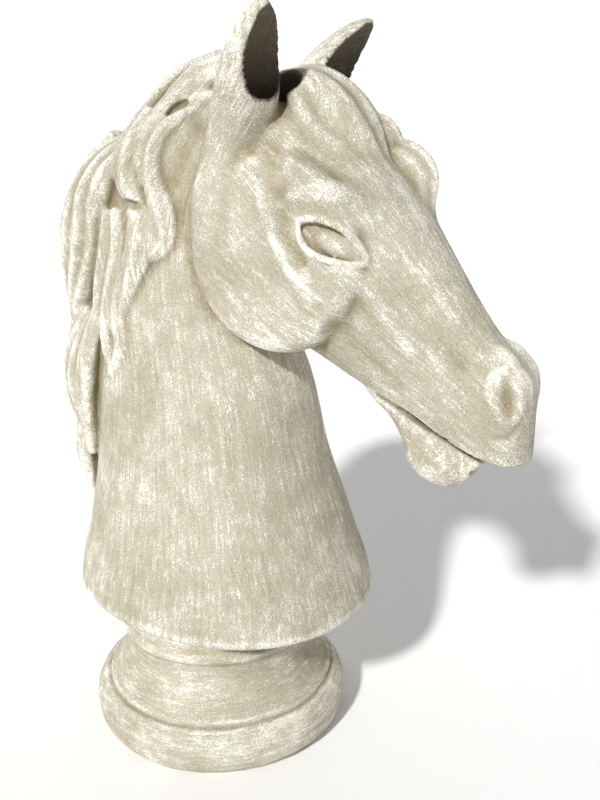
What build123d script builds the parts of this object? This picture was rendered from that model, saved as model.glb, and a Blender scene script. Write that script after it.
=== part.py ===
"""Giant garden chess knight: a hollow cast bust of a horse, bolted onto a turned pedestal.

The bust is two half shells bonded along the median plane on dowels. The ears, the forelock and
the mane are cast separately, pinned and bonded on. The pedestal is hollow, closed underneath by a
screwed plate, and weighted with sand that is poured in past a rubber stopper.

Millimetres. +X is the way the horse faces, +Y its left, +Z up. The origin is the centre of the
pedestal's foot, on the ground.
"""

import os
from math import cos, radians, sin

from build123d import *

# ---------------------------------------------------------------- driving dimensions
PEDESTAL_RADIUS = 175  # widest point of the foot moulding
FOOT_RADIUS = 161  # where the moulding meets the ground
PEDESTAL_TOP = 176
DECK = 22  # thickness of the pedestal's top
CAVITY_RADIUS, CAVITY_SHOULDER = 122, 70
CAVITY_TOP_RADIUS = 96
SPIGOT_RADIUS, SPIGOT_HEIGHT = 66, 12
PLAY = 0.5  # radial play of parts that drop into one another

WALL = 14  # cast shell
BED, BED_RADIUS = 2, 126  # mortar joint between pedestal and bust
BUST_BOTTOM = PEDESTAL_TOP + BED
BUST_FLOOR = BUST_BOTTOM + 16

PLATE_RADIUS, PLATE = 148, 16
PLATE_SCREWS, SCREW_CIRCLE = 6, 135
SCREW_RADIUS, SCREW_HEAD_RADIUS, SCREW_LENGTH = 3, 6, 30
INSERT_RADIUS, INSERT_LENGTH = 5, 18

STOPPER_PLACE = -72  # along X, clear of the tie rod
STOPPER_RADIUS, STOPPER_FLANGE_RADIUS, STOPPER_LENGTH = 21, 27, 24
COLLAR_RADIUS, COLLAR_FLANGE_RADIUS, COLLAR_LENGTH = 26, 33, 18
FLANGE = 3
STOPPER_BOTTOM = 2  # the stopper's face is held off the ground
STOPPER_GAP = 0.3

ROD_RADIUS = 10
NUT_ACROSS, NUT_HEIGHT, THREAD_END = 30, 16, 8
WASHER_RADIUS, WASHER = 30, 4
CLAMP_RADIUS, CLAMP = 92, 8
DOWEL_RADIUS, DOWEL_LENGTH = 3, 24
DOWEL_DEPTH = 9  # from the skin to the dowel's middle
PIN_RADIUS, PIN_DEPTH = 3, 22  # pins that hold the ears and the mane

# Height, centre along X, half length and half width of the oval sections
SKIRT = [(BUST_BOTTOM, 2, 142, 138), (192, 6, 170, 156), (203, 10, 191, 171), (214, 13, 199, 177)]
NECK = [
    (214, 13, 199, 177),
    (300, 8, 182, 156),
    (400, -2, 160, 132),
    (500, -15, 150, 110),
    (600, -40, 132, 92),
    (700, -36, 118, 78),
    (775, 0, 100, 66),
    (826, 46, 66, 48),
    (854, 62, 32, 24),
]

# The head's straight axis runs from the skull to the lips, falling as it goes
HEAD_START = (110, 735)
HEAD_PITCH = 38.4
# Distance along the axis, top, bottom and half width of the oval sections
HEAD = [
    (-70, 64, -56, 46),
    (-30, 97, -92, 70),
    (30, 108, -126, 83),
    (92, 110, -137, 87),
    (150, 97, -112, 79),
    (205, 80, -93, 64),
    (255, 66, -84, 54),
    (305, 54, -74, 49),
    (348, 50, -58, 46),
    (380, 32, -46, 41),
    (402, 4, -34, 28),
]
HOLLOW_HEAD = HEAD[1:8]  # the muzzle is cast solid
LOWER_LIP = [
    (236, -46, -84, 34),
    (270, -44, -97, 38),
    (310, -42, -113, 38),
    (350, -48, -122, 36),
    (382, -58, -116, 31),
    (398, -70, -102, 20),
]
MOUTH_CORNER = (264, 512)
MOUTH_SLOPE, MOUTH_GAPE = 21.5, 4.2

# Distance along the head's axis, middle height, half thickness and half width
FORELOCK = [
    (-66, 92, 18, 24),
    (-30, 110, 25, 36),
    (20, 112, 28, 43),
    (80, 108, 27, 44),
    (122, 102, 21, 36),
    (152, 92, 10, 16),
]

# Crest of the mane: outline in the median plane, lean from upright, half thickness, half width
MANE = [
    ((104, 878), 98, 20, 30),
    ((50, 888), 78, 32, 48),
    ((-50, 838), 52, 42, 68),
    ((-160, 758), 44, 48, 80),
    ((-218, 650), 6, 50, 82),
    ((-210, 540), -4, 46, 66),
    ((-196, 480), -6, 26, 34),
]
# Its two lower locks: centre and radii
MANE_LOCKS = [((-186, 0, 456), (57, 60, 92)), ((-172, 0, 352), (42, 42, 66))]

# The right ear, from its root to its tip; the left one mirrors it
EAR_ROOT, EAR_TIP = Vector(97, -54, 792), Vector(158, -111, 918)
EAR_FACES = Vector(0.95, -0.2, -0.25)
# Share of the length, half width, half depth
EAR = [(0, 30, 27), (0.2, 32, 28), (0.45, 31, 26), (0.7, 25, 20), (0.9, 15, 12), (1, 4, 3)]
EAR_CUP = [(0.14, 11, 9), (0.3, 22, 17), (0.5, 22, 17), (0.72, 16, 12), (0.93, 4, 4)]
EAR_CUP_FORWARD = 14

PITCH_COS, PITCH_SIN = cos(radians(HEAD_PITCH)), sin(radians(HEAD_PITCH))
UPWARDS = (Align.CENTER, Align.CENTER, Align.MIN)


def head_point(along, up):
    """A point of the median plane, from its distance along and above the head's axis."""
    return (
        HEAD_START[0] + along * PITCH_COS + up * PITCH_SIN,
        0,
        HEAD_START[1] - along * PITCH_SIN + up * PITCH_COS,
    )


def head_plane(along, up):
    """A section plane across the head: its X points left and its Y towards the brow."""
    return Plane(head_point(along, up), x_dir=(0, 1, 0), z_dir=(PITCH_COS, 0, -PITCH_SIN))


def neck_loft(sections, inset=0, lowest=None):
    """A solid through level oval sections, each drawn in by inset, cut off under lowest."""
    with BuildPart() as solid:
        for height, centre, half_length, half_width in sections:
            with BuildSketch(Plane((centre, 0, height))):
                Ellipse(half_length - inset, half_width - inset)
        loft()
        if lowest:
            split(bisect_by=Plane.XY.offset(lowest), keep=Keep.TOP)
    return solid.part


def head_loft(sections, inset=0):
    """A solid through oval sections across the head, each drawn in by inset."""
    with BuildPart() as solid:
        for along, top, bottom, half_width in sections:
            with BuildSketch(head_plane(along, (top + bottom) / 2)):
                Ellipse(half_width - inset, (top - bottom) / 2 - inset)
        loft()
    return solid.part


def below_line(slope, reach=300):
    """A slab across the head, under a line that falls forwards from the mouth's corner."""
    x, z = MOUTH_CORNER
    far_x, far_z = x + reach * cos(radians(slope)), z - reach * sin(radians(slope))
    with BuildPart() as slab:
        with BuildSketch(Plane.XZ):
            with BuildLine():
                Polyline((x, z), (far_x, far_z), (far_x, far_z - reach), (x, z - reach), close=True)
            make_face()
        extrude(amount=reach / 2, both=True)
    return slab.part


def ellipsoid(centre, radii):
    """A sphere stretched to three radii about its centre."""
    with BuildPart() as ball:
        Sphere(1)
    return Location(centre) * scale(ball.part, by=radii, mode=Mode.PRIVATE)


def ear_plane(share, forward=0):
    """A section plane across the right ear: its X points across the ear, its Y out of the cup."""
    growth = (EAR_TIP - EAR_ROOT).normalized()
    facing = (EAR_FACES - growth * EAR_FACES.dot(growth)).normalized()
    origin = EAR_ROOT + (EAR_TIP - EAR_ROOT) * share + facing * forward
    return Plane(origin, x_dir=facing.cross(growth), z_dir=growth)


def ear_loft(sections, forward=0):
    """A solid through oval sections across the right ear."""
    with BuildPart() as solid:
        for share, half_width, half_depth in sections:
            with BuildSketch(ear_plane(share, forward)):
                Ellipse(half_width, half_depth)
        loft()
    return solid.part


def rod(start, end, radius):
    """A straight round bar between two points."""
    axis = Vector(*end) - Vector(*start)
    with BuildPart() as bar:
        with BuildSketch(Plane(start, z_dir=axis)):
            Circle(radius)
        extrude(amount=axis.length)
    return bar.part


def hexagon_nut(bottom):
    """A nut bored for the tie rod."""
    with BuildPart() as nut:
        with BuildSketch(Plane.XY.offset(bottom)):
            RegularPolygon(NUT_ACROSS / 2, 6, major_radius=False)
            Circle(ROD_RADIUS, mode=Mode.SUBTRACT)
        extrude(amount=NUT_HEIGHT)
    return nut.part


def save(part, name):
    """Names a finished piece and writes its file."""
    part.label = name
    export_step(part, f"parts/{name}.step")


os.makedirs("parts", exist_ok=True)

# ---------------------------------------------------------------- pedestal
# Outside, from the ground up: foot torus, ledge, riser, scotia, collar bead, neck-in, spigot
with BuildPart() as pedestal:
    with BuildSketch(Plane.XZ):
        with BuildLine():
            Line((0, 0), (FOOT_RADIUS, 0))
            torus = ThreePointArc((FOOT_RADIUS, 0), (PEDESTAL_RADIUS, 35), (165, 65))
            ledge = Line(torus @ 1, (157, 66))
            riser = Line(ledge @ 1, (156, 76))
            scotia = RadiusArc(riser @ 1, (131, 140), 80)
            bead = ThreePointArc(scotia @ 1, (137, 150), (131, 160))
            neck_in = Line(bead @ 1, (129, PEDESTAL_TOP))
            deck_top = Line(neck_in @ 1, (SPIGOT_RADIUS, PEDESTAL_TOP))
            spigot = Line(deck_top @ 1, (SPIGOT_RADIUS, PEDESTAL_TOP + SPIGOT_HEIGHT))
            Polyline(spigot @ 1, (0, PEDESTAL_TOP + SPIGOT_HEIGHT), (0, 0))
        make_face()
    revolve(axis=Axis.Z)
    # cavity, narrowing towards the deck
    with BuildSketch(Plane.XY):
        Circle(CAVITY_RADIUS)
    extrude(amount=CAVITY_SHOULDER, mode=Mode.SUBTRACT)
    with BuildSketch(Plane.XY.offset(CAVITY_SHOULDER)):
        Circle(CAVITY_RADIUS)
    with BuildSketch(Plane.XY.offset(PEDESTAL_TOP - DECK)):
        Circle(CAVITY_TOP_RADIUS)
    loft(mode=Mode.SUBTRACT)
    # rebate for the plate, pockets for the inserts, hole for the tie rod
    Cylinder(PLATE_RADIUS + PLAY, PLATE, align=UPWARDS, mode=Mode.SUBTRACT)
    with Locations(Plane.XY.offset(PLATE)):
        with PolarLocations(SCREW_CIRCLE, PLATE_SCREWS, start_angle=30):
            Cylinder(INSERT_RADIUS, INSERT_LENGTH, align=UPWARDS, mode=Mode.SUBTRACT)
    with Locations((0, 0, PEDESTAL_TOP)):
        Cylinder(ROD_RADIUS + PLAY, 3 * DECK, mode=Mode.SUBTRACT)
save(pedestal.part, "pedestal")

# ---------------------------------------------------------------- base plate and its screws
with BuildPart() as base_plate:
    Cylinder(PLATE_RADIUS, PLATE, align=UPWARDS)
    chamfer(base_plate.edges().filter_by(GeomType.CIRCLE).group_by(Axis.Z)[-1], 2)
    with Locations((STOPPER_PLACE, 0, 0)):
        Cylinder(COLLAR_RADIUS, PLATE, align=UPWARDS, mode=Mode.SUBTRACT)
        Cylinder(
            COLLAR_FLANGE_RADIUS,
            STOPPER_BOTTOM + 2 * FLANGE,
            align=UPWARDS,
            mode=Mode.SUBTRACT,
        )
    with Locations(Plane.XY.rotated((180, 0, 0))):
        with PolarLocations(SCREW_CIRCLE, PLATE_SCREWS, start_angle=30):
            CounterSinkHole(SCREW_RADIUS + PLAY, SCREW_HEAD_RADIUS + PLAY, PLATE)
save(base_plate.part, "base_plate")

with BuildPart() as plate_screws:
    with Locations(Plane.XY.offset(PLAY)):
        with PolarLocations(SCREW_CIRCLE, PLATE_SCREWS, start_angle=30):
            Cylinder(SCREW_RADIUS, SCREW_LENGTH, align=UPWARDS)
            Cone(SCREW_HEAD_RADIUS, SCREW_RADIUS, SCREW_HEAD_RADIUS - SCREW_RADIUS, align=UPWARDS)
            Box(8, 1.6, 3, mode=Mode.SUBTRACT)
save(plate_screws.part, "plate_screws")

with BuildPart() as screw_inserts:
    with Locations(Plane.XY.offset(PLATE)):
        with PolarLocations(SCREW_CIRCLE, PLATE_SCREWS, start_angle=30):
            Cylinder(INSERT_RADIUS, INSERT_LENGTH, align=UPWARDS)
            Cylinder(SCREW_RADIUS, INSERT_LENGTH, align=UPWARDS, mode=Mode.SUBTRACT)
save(screw_inserts.part, "screw_inserts")

# ---------------------------------------------------------------- stopper, its collar, the sand
# The collar is glued into the plate; the stopper's flange closes against its underside
collar_bottom = STOPPER_BOTTOM + FLANGE
with BuildPart() as stopper_collar:
    with Locations((STOPPER_PLACE, 0, collar_bottom)):
        Cylinder(COLLAR_FLANGE_RADIUS, FLANGE, align=UPWARDS)
        Cylinder(COLLAR_RADIUS, COLLAR_LENGTH, align=UPWARDS)
        Cylinder(STOPPER_RADIUS + STOPPER_GAP, COLLAR_LENGTH, align=UPWARDS, mode=Mode.SUBTRACT)
save(stopper_collar.part, "stopper_collar")

# A cupped rubber plug with a bar across its mouth to pull it by
with BuildPart() as ballast_stopper:
    with Locations((STOPPER_PLACE, 0, STOPPER_BOTTOM)):
        Cylinder(STOPPER_FLANGE_RADIUS, FLANGE - STOPPER_GAP, align=UPWARDS)
        Cylinder(STOPPER_RADIUS, STOPPER_LENGTH, align=UPWARDS)
    fillet(ballast_stopper.edges().filter_by(GeomType.CIRCLE).group_by(Axis.Z)[-1], 3)
    with Locations((STOPPER_PLACE, 0, STOPPER_BOTTOM)):
        Cylinder(STOPPER_RADIUS - 5, STOPPER_LENGTH - 6, align=UPWARDS, mode=Mode.SUBTRACT)
        Box(2 * STOPPER_RADIUS - 6, 7, 4, align=UPWARDS)
save(ballast_stopper.part, "ballast_stopper")

with BuildPart() as sand_ballast:
    with Locations((0, 0, PLATE + PLAY)):
        Cylinder(CAVITY_RADIUS - PLAY, CAVITY_SHOULDER - PLATE - PLAY, align=UPWARDS)
    with Locations((STOPPER_PLACE, 0, PLATE)):
        Cylinder(COLLAR_RADIUS + PLAY, COLLAR_LENGTH, align=UPWARDS, mode=Mode.SUBTRACT)
save(sand_ballast.part, "sand_ballast")

# ---------------------------------------------------------------- tie rod and its fittings
washer_bottom = PEDESTAL_TOP - DECK - WASHER
clamp_top = BUST_FLOOR + CLAMP
rod_bottom = washer_bottom - NUT_HEIGHT - THREAD_END
rod_top = clamp_top + NUT_HEIGHT + THREAD_END
with BuildPart() as tie_rod:
    with Locations((0, 0, rod_bottom)):
        Cylinder(ROD_RADIUS, rod_top - rod_bottom, align=UPWARDS)
    chamfer(tie_rod.edges().filter_by(GeomType.CIRCLE), 1.5)
save(tie_rod.part, "tie_rod")
save(hexagon_nut(washer_bottom - NUT_HEIGHT), "lower_nut")
save(hexagon_nut(clamp_top), "upper_nut")

with BuildPart() as lower_washer:
    with BuildSketch(Plane.XY.offset(washer_bottom)):
        Circle(WASHER_RADIUS)
        Circle(ROD_RADIUS + PLAY, mode=Mode.SUBTRACT)
    extrude(amount=WASHER)
save(lower_washer.part, "lower_washer")

with BuildPart() as clamp_plate:
    with BuildSketch(Plane.XY.offset(BUST_FLOOR)):
        Circle(CLAMP_RADIUS)
        Circle(ROD_RADIUS + PLAY, mode=Mode.SUBTRACT)
    extrude(amount=CLAMP)
save(clamp_plate.part, "clamp_plate")

with BuildPart() as mortar_bed:
    with BuildSketch(Plane.XY.offset(PEDESTAL_TOP)):
        Circle(BED_RADIUS)
        Circle(SPIGOT_RADIUS + PLAY, mode=Mode.SUBTRACT)
    extrude(amount=BED)
save(mortar_bed.part, "mortar_bed")

# ---------------------------------------------------------------- pins across the bust's joints
# Dowels through the wall, half in each shell: down the chest and nape, along the brow and jaw
dowel_places = [(centre + side * (half - DOWEL_DEPTH), 0, height)
                for height, centre, half, _ in NECK[1:5] for side in (-1, 1)]
dowel_places = dowel_places[:6] + dowel_places[6:7]
dowel_places += [head_point(along, top - DOWEL_DEPTH) for along, top, _, _ in HEAD[3:7]]
dowel_places += [head_point(along, bottom + DOWEL_DEPTH) for along, _, bottom, _ in HEAD[4:6]]
dowel_places += [head_point(352, 0)]
half_dowel = Vector(0, DOWEL_LENGTH / 2, 0)
with BuildPart() as seam_dowels:
    for place in dowel_places:
        add(rod(Vector(*place) - half_dowel, Vector(*place) + half_dowel, DOWEL_RADIUS))
save(seam_dowels.part, "seam_dowels")

ear_growth = (EAR_TIP - EAR_ROOT).normalized()
with BuildPart() as ear_pins:
    add(rod(EAR_ROOT - ear_growth * PIN_DEPTH, EAR_ROOT + ear_growth * PIN_DEPTH, PIN_RADIUS))
    mirror(about=Plane.XZ)
save(ear_pins.part, "ear_pins")

# Pins through the nape into the thick of the mane, midway between the neck's sections
with BuildPart() as mane_pins:
    for below, above in zip(NECK[2:5], NECK[3:6]):
        height = (below[0] + above[0]) / 2
        nape = (below[1] - below[2] + above[1] - above[2]) / 2
        add(rod((nape - PIN_DEPTH, 0, height), (nape + WALL, 0, height), PIN_RADIUS))

# ---------------------------------------------------------------- bust, whole and solid
with BuildPart() as muzzle:
    add(head_loft(HEAD))
    add(below_line(MOUTH_SLOPE), mode=Mode.SUBTRACT)

with BuildPart() as lower_lip:
    add(head_loft(LOWER_LIP))
    add(below_line(MOUTH_SLOPE + MOUTH_GAPE), mode=Mode.INTERSECT)

with BuildPart() as bust_form:
    add(neck_loft(SKIRT))
    add(neck_loft(NECK))
    add(muzzle.part)
    add(lower_lip.part)

# ---------------------------------------------------------------- ears, forelock, mane
with BuildPart() as right_ear:
    add(ear_loft(EAR))
    add(ear_loft(EAR_CUP, forward=EAR_CUP_FORWARD), mode=Mode.SUBTRACT)
    add(bust_form.part, mode=Mode.SUBTRACT)
    add(ear_pins.part, mode=Mode.SUBTRACT)
save(right_ear.part, "right_ear")

with BuildPart() as left_ear:
    mirror(right_ear.part, about=Plane.XZ)
save(left_ear.part, "left_ear")

with BuildPart() as forelock:
    for along, middle, half_thickness, half_width in FORELOCK:
        with BuildSketch(head_plane(along, middle)):
            Ellipse(half_width, half_thickness)
    loft()
    add(bust_form.part, mode=Mode.SUBTRACT)
    add(right_ear.part, mode=Mode.SUBTRACT)
    add(left_ear.part, mode=Mode.SUBTRACT)
save(forelock.part, "forelock")

with BuildPart() as mane:
    for (x, z), lean, half_thickness, half_width in MANE:
        lean_sin, lean_cos = sin(radians(lean)), cos(radians(lean))
        middle = (x + half_thickness * lean_cos, 0, z - half_thickness * lean_sin)
        with BuildSketch(Plane(middle, x_dir=(0, 1, 0), z_dir=(-lean_sin, 0, -lean_cos))):
            Ellipse(half_width, half_thickness)
    loft()
    for centre, radii in MANE_LOCKS:
        add(ellipsoid(centre, radii))
    add(bust_form.part, mode=Mode.SUBTRACT)
    add(forelock.part, mode=Mode.SUBTRACT)
    add(mane_pins.part, mode=Mode.SUBTRACT)
save(mane.part, "mane")
save(mane_pins.part, "mane_pins")

# ---------------------------------------------------------------- bust, hollowed and halved
with BuildPart() as bust:
    add(bust_form.part)
    add(neck_loft(SKIRT, WALL, BUST_FLOOR), mode=Mode.SUBTRACT)
    add(neck_loft(NECK, WALL), mode=Mode.SUBTRACT)
    add(head_loft(HOLLOW_HEAD, WALL), mode=Mode.SUBTRACT)
    with Locations((0, 0, BUST_BOTTOM)):
        Cylinder(SPIGOT_RADIUS + PLAY, 3 * WALL, mode=Mode.SUBTRACT)
    add(seam_dowels.part, mode=Mode.SUBTRACT)
    add(ear_pins.part, mode=Mode.SUBTRACT)
    add(mane_pins.part, mode=Mode.SUBTRACT)

with BuildPart() as bust_shell_right:
    add(bust.part)
    split(bisect_by=Plane.XZ, keep=Keep.TOP)
save(bust_shell_right.part, "bust_shell_right")

with BuildPart() as bust_shell_left:
    add(bust.part)
    split(bisect_by=Plane.XZ, keep=Keep.BOTTOM)
save(bust_shell_left.part, "bust_shell_left")
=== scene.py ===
"""Giant garden chess knight in whitewashed cast stone, on a pale floor.

The bust, ears, forelock and mane are sculpted as distance fields in millimetres, which follow the
CAD's sections, and are meshed one piece at a time. The pedestal is turned from a finer profile.
Every other node keeps its CAD shape and gets a material.
"""

from math import cos, pi, radians, sin

import bmesh
import bpy
import numpy as np
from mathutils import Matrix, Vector


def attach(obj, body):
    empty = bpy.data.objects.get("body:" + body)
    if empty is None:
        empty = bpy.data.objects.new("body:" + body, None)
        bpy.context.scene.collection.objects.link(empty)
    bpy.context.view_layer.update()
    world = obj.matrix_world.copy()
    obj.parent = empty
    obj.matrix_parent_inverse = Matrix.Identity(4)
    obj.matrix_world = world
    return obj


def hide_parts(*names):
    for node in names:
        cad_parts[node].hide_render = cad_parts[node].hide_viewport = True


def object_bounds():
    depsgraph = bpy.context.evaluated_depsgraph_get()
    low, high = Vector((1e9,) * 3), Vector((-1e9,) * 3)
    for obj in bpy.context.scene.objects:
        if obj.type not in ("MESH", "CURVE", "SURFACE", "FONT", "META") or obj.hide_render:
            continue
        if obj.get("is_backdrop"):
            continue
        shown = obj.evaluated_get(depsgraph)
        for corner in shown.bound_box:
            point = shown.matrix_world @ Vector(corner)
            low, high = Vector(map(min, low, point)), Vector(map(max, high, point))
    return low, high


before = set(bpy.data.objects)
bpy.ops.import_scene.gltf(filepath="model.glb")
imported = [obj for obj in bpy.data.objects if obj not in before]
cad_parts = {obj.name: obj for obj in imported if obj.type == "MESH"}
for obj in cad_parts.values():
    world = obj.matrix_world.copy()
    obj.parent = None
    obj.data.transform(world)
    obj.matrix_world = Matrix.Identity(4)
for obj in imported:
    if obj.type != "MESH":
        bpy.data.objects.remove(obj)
cad_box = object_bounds()

GRID = 2.6  # spacing of the sculpting grid, in millimetres

# ---- distance fields, in millimetres
HEAD_START = (110.0, 735.0)  # x and z of the head's origin, between the ears' roots
PITCH = radians(38.4)  # how far the nose hangs below level
ALONG = np.array([cos(PITCH), 0, -sin(PITCH)])
UPWARD = np.array([sin(PITCH), 0, cos(PITCH)])


def curve(knots, t):
    """Smooth curves through knots, whose first column rises; returns the other columns at t."""
    knots = np.asarray(knots, float)
    k, v = knots[:, 0], knots[:, 1:]
    step = np.diff(k)
    slope = np.diff(v, axis=0) / step[:, None]
    tangent = np.zeros_like(v)
    tangent[1:-1] = slope[1:] * step[:-1, None] + slope[:-1] * step[1:, None]
    tangent[1:-1] /= (step[1:] + step[:-1])[:, None]
    tangent[0], tangent[-1] = slope[0], slope[-1]
    t = np.clip(np.asarray(t, float), k[0], k[-1])
    i = np.clip(np.searchsorted(k, t, side="right") - 1, 0, len(k) - 2)
    h = step[i]
    s = (t - k[i]) / h
    near = (1 + 2 * s) * (1 - s) ** 2
    far = s * s * (3 - 2 * s)
    leave = s * (1 - s) ** 2 * h
    arrive = s * s * (s - 1) * h
    return [
        near * v[i, c] + leave * tangent[i, c] + far * v[i + 1, c] + arrive * tangent[i + 1, c]
        for c in range(v.shape[1])
    ]


def join(a, b, k):
    """Union of two fields with a fillet about k wide."""
    if k <= 0:
        return np.minimum(a, b)
    h = np.maximum(k - np.abs(a - b), 0) / k
    return np.minimum(a, b) - h * h * h * (k / 6)


def meet(a, b, k):
    """Intersection of two fields, rounded over about k."""
    return -join(-a, -b, k)


def oval(p, q, a, b, power=2.0):
    """Distance to an oval with half sizes a and b; a power over 2 makes it squarer."""
    near = np.sqrt((p / a) ** 2 + (q / b) ** 2) + 1e-9
    steep = np.sqrt((p / a ** 2) ** 2 + (q / b ** 2) ** 2) + 1e-9
    ring = (np.abs(p / a) ** power + np.abs(q / b) ** power) ** (1 / power)
    return (ring - 1) * near / steep


def egg(*axes):
    """Distance to an ellipsoid, from its axes' pairs of a coordinate and a half size."""
    near = np.sqrt(sum((p / a) ** 2 for p, a in axes)) + 1e-9
    steep = np.sqrt(sum((p / a ** 2) ** 2 for p, a in axes)) + 1e-9
    return near * (near - 1) / steep


def smooth_line(points, count):
    """A smooth curve through the points, with count steps to each span."""
    p = np.asarray(points, float)
    q = np.vstack([2 * p[0] - p[1], p, 2 * p[-1] - p[-2]])
    t = np.linspace(0, 1, count, endpoint=False)[:, None]
    out = []
    for a, b, c, d in zip(q[:-3], q[1:-2], q[2:-1], q[3:]):
        cubic = 3 * b - a - 3 * c + d
        out.append(0.5 * (2 * b + (c - a) * t + (2 * a - 5 * b + 4 * c - d) * t ** 2 + cubic * t ** 3))
    return np.vstack(out + [p[-1:]])


FAR_AWAY = 60.0  # distance that an empty field holds
REACH = 14.0  # how far round a shape its distances are written


class Field:
    """Samples of a distance field on a grid. A shape is (lowest corner, highest corner, function)."""

    def __init__(self, axes, step, samples=None):
        self.axes, self.step = axes, step
        size = [len(axis) for axis in axes]
        self.d = np.full(size, FAR_AWAY, np.float32) if samples is None else samples.copy()

    def blank(self):
        return Field(self.axes, self.step)

    def copy(self):
        return Field(self.axes, self.step, self.d)

    def window(self, low, high):
        cells = []
        for axis, a, b in zip(self.axes, low, high):
            first, last = np.searchsorted(axis, (a, b))
            cells.append(slice(max(first - 1, 0), last + 1))
        x, y, z = (axis[cell] for axis, cell in zip(self.axes, cells))
        return tuple(cells), x[:, None, None], y[None, :, None], z[None, None, :]

    def around(self, shape, blend):
        """The cells near a shape, and its distances there."""
        low, high, function = shape
        grow = blend + REACH
        cells, x, y, z = self.window(np.array(low) - grow, np.array(high) + grow)
        return cells, function(x, y, z)

    def add(self, shape, blend=0.0):
        cells, distance = self.around(shape, blend)
        self.d[cells] = join(self.d[cells], distance, blend)

    def cut(self, shape, blend=0.0):
        cells, distance = self.around(shape, blend)
        self.d[cells] = meet(self.d[cells], -distance, blend)

    def at(self, points):
        """The field at points, by linear interpolation."""
        q = (np.atleast_2d(points) - [axis[0] for axis in self.axes]) / self.step
        i = np.clip(np.floor(q).astype(int), 0, np.array(self.d.shape) - 2)
        t = np.clip(q - i, 0, 1)
        total = 0
        for a in (0, 1):
            for b in (0, 1):
                for c in (0, 1):
                    weight = np.where([a, b, c], t, 1 - t).prod(axis=1)
                    total = total + weight * self.d[i[:, 0] + a, i[:, 1] + b, i[:, 2] + c]
        return total

    def march(self, start, direction, reach):
        """The outermost point of the surface on a line, coming in from start + reach."""
        stride = 0.8
        steps = np.arange(reach, -reach, -stride)
        values = self.at(np.asarray(start) + steps[:, None] * direction)
        inside = np.flatnonzero(values < 0)
        if not len(inside):
            return np.asarray(start, float)
        k = max(inside[0], 1)
        share = values[k - 1] / (values[k - 1] - values[k] + 1e-9)
        return np.asarray(start) + (steps[k - 1] - stride * share) * direction

    def normal(self, point):
        shift = np.eye(3) * 2.5
        slope = self.at(point + shift) - self.at(point - shift)
        return slope / (np.linalg.norm(slope) + 1e-9)


def mirrored(shape):
    low, high, function = shape
    return (
        (low[0], -high[1], low[2]),
        (high[0], -low[1], high[2]),
        lambda x, y, z: function(x, -y, z),
    )


def head_point(s, u, y=0.0):
    """A point of the head: s along its axis, u above it, y to the left."""
    return np.array([HEAD_START[0], y, HEAD_START[1]]) + s * ALONG + u * UPWARD


def to_head(x, z):
    dx, dz = x - HEAD_START[0], z - HEAD_START[1]
    return dx * ALONG[0] + dz * ALONG[2], dx * UPWARD[0] + dz * UPWARD[2]


def ball(s, y, u, radii, turn=0.0, tilt=0.0):
    """An ellipsoid in the head's frame; turn swings its length outwards, tilt lifts its nose."""
    a, b = radians(turn), radians(tilt)
    swing = np.array([[cos(a), -sin(a), 0], [sin(a), cos(a), 0], [0, 0, 1]])
    lift = np.array([[cos(b), 0, -sin(b)], [0, 1, 0], [sin(b), 0, cos(b)]])
    axes = np.array([ALONG, (0, 1, 0), UPWARD]).T @ swing @ lift
    centre, radii = head_point(s, u, y), np.array(radii, float)
    half = np.sqrt(((axes * radii) ** 2).sum(axis=1))

    def function(x, y, z):
        dx, dy, dz = x - centre[0], y - centre[1], z - centre[2]
        return egg(*((a[0] * dx + a[1] * dy + a[2] * dz, radius) for a, radius in zip(axes.T, radii)))

    return centre - half, centre + half, function


def spans(line, x, y, z):
    """For each span of a line: its number, the share along it nearest to a place, and the way there."""
    for i, (a, b) in enumerate(zip(line[:-1], line[1:])):
        run = b[:3] - a[:3]
        dx, dy, dz = x - a[0], y - a[1], z - a[2]
        t = (dx * run[0] + dy * run[1] + dz * run[2]) / ((run ** 2).sum() + 1e-9)
        t = np.clip(t, 0, 1)
        yield i, t, (dx - t * run[0], dy - t * run[1], dz - t * run[2])


def tube(points):
    """A round bar through points, each (x, y, z, radius)."""
    line = smooth_line(points, 5)
    reach = line[:, 3].max()

    def function(x, y, z):
        best = np.inf
        for i, t, (dx, dy, dz) in spans(line, x, y, z):
            radius = line[i, 3] + t * (line[i + 1, 3] - line[i, 3])
            best = np.minimum(best, np.sqrt(dx ** 2 + dy ** 2 + dz ** 2) - radius)
        return best

    return line[:, :3].min(axis=0) - reach, line[:, :3].max(axis=0) + reach, function


GROOVE = 0.10  # depth between strands, as a share of a lock's half depth


def lock(points, outward, widths, depths, strands=0, count=5):
    """A lock of hair, or an ear: a flattened bar, with grooves between its strands."""
    rows = np.column_stack([points, outward, widths, depths])
    line = smooth_line(rows, count)
    reach = line[:, 6:].max()
    run = np.gradient(line[:, :3], axis=0)
    run /= np.linalg.norm(run, axis=1)[:, None] + 1e-9
    out = line[:, 3:6] - (line[:, 3:6] * run).sum(axis=1)[:, None] * run
    out /= np.linalg.norm(out, axis=1)[:, None] + 1e-9
    side = np.cross(run, out)

    def function(x, y, z):
        best = np.inf
        for i, t, (dx, dy, dz) in spans(line, x, y, z):
            across, above, ahead = (
                dx * v[0] + dy * v[1] + dz * v[2]
                for v in ((way[i] + way[i + 1]) / 2 for way in (side, out, run))
            )
            width, depth = (np.maximum(line[i, c] + t * (line[i + 1, c] - line[i, c]), 1.0) for c in (6, 7))
            if strands:
                depth = depth * (1 + GROOVE * np.cos(strands * pi * across / width))
            best = np.minimum(best, egg((across, width), (above, depth), (ahead, depth)))
        return best

    return line[:, :3].min(axis=0) - reach, line[:, :3].max(axis=0) + reach, function


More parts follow.
